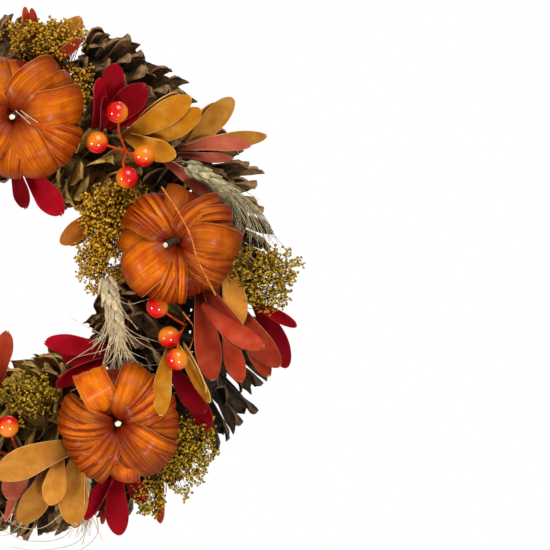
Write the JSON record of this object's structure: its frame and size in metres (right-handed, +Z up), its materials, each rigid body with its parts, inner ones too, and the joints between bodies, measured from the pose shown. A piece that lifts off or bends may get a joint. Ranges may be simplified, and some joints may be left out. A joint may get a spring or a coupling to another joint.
{
  "type": "harvest door wreath",
  "caption": "Round autumn wreath: vine ring dressed with pine cones, husk pumpkins, wood-curl leaves, berries, sprays and wheat, with a swinging wire hanging loop.",
  "frame": {"origin": "hook seat: the back edge of the vine ring's inner face at its top, on the door plane, where a hook through the ring carries it", "axes": "upright as hung: +Z up, +Y into the door, the front faces -Y, +X to the right as seen from the front"},
  "size_m": [0.3363, 0.1026, 0.3183],
  "materials": {
    "vine": "dry bark, matte",
    "wire": "dull steel wire",
    "pine_cone": "dry woody scales, matte",
    "husk_orange": "dyed wood-shaving strips, varnished satin",
    "stem": "dark twig with a pale cut end",
    "petal_crimson": "dyed wood curl, matte",
    "petal_rust": "dyed wood curl, matte",
    "petal_gold": "dyed wood curl, matte",
    "berry": "lacquered red to orange, glossy",
    "gold_spray": "small dyed seed balls",
    "wheat": "dry straw, matte"
  },
  "bodies": {
    "wreath": {"berry_sprig_bottom": "berry", "berry_sprig_left": "berry", "berry_sprig_right": "berry", "berry_sprig_upper_left": "berry", "berry_sprig_upper_right": "berry", "gold_spray_inner_left": "gold_spray", "gold_spray_inner_right": "gold_spray", "gold_spray_lower_left": "gold_spray", "gold_spray_lower_right": "gold_spray", "gold_spray_right": "gold_spray", "gold_spray_top": "gold_spray", "hanger_staple": "wire", "inner_cone_01": "pine_cone", "inner_cone_02": "pine_cone", "inner_cone_03": "pine_cone", "inner_cone_04": "pine_cone", "inner_cone_05": "pine_cone", "inner_cone_06": "pine_cone", "leaf_crimson_bottom": "petal_crimson", "leaf_crimson_bottom_left": "petal_crimson", "leaf_crimson_inner_left": "petal_crimson", "leaf_crimson_inner_right": "petal_crimson", "leaf_crimson_inner_top": "petal_crimson", "leaf_crimson_upper": "petal_crimson", "leaf_crimson_upper_left": "petal_crimson", "leaf_gold_bottom": "petal_gold", "leaf_gold_left": "petal_gold", "leaf_gold_right": "petal_gold", "leaf_gold_top": "petal_gold", "leaf_gold_upper": "petal_gold", "leaf_gold_upper_left": "petal_gold", "leaf_rust_left": "petal_rust", "leaf_rust_right": "petal_rust", "leaf_rust_upper_left": "petal_rust", "leaf_tan_upper": "petal_gold", "outer_cone_01": "pine_cone", "outer_cone_02": "pine_cone", "outer_cone_03": "pine_cone", "outer_cone_04": "pine_cone", "outer_cone_05": "pine_cone", "outer_cone_06": "pine_cone", "outer_cone_07": "pine_cone", "outer_cone_08": "pine_cone", "outer_cone_09": "pine_cone", "outer_cone_10": "pine_cone", "pumpkin_left": "husk_orange", "pumpkin_lower_left": "husk_orange", "pumpkin_lower_right": "husk_orange", "pumpkin_right": "husk_orange", "pumpkin_stem_left": "stem", "pumpkin_stem_lower_left": "stem", "pumpkin_stem_lower_right": "stem", "pumpkin_stem_right": "stem", "pumpkin_stem_top": "stem", "pumpkin_top": "husk_orange", "vine_ring": "vine", "wheat_ear_inner_right": "wheat", "wheat_ear_upper_left": "wheat", "wheat_ear_upper_right": "wheat"},
    "hanging_loop": {"hanging_loop": "wire"}
  },
  "joints": [
    {"name": "loop_swing", "type": "hinge", "parent": "wreath", "child": "hanging_loop", "pos_m": [0, 0.0014, 0.011], "axis": [1, 0, 0], "range_deg": [0, 180]}
  ]
}
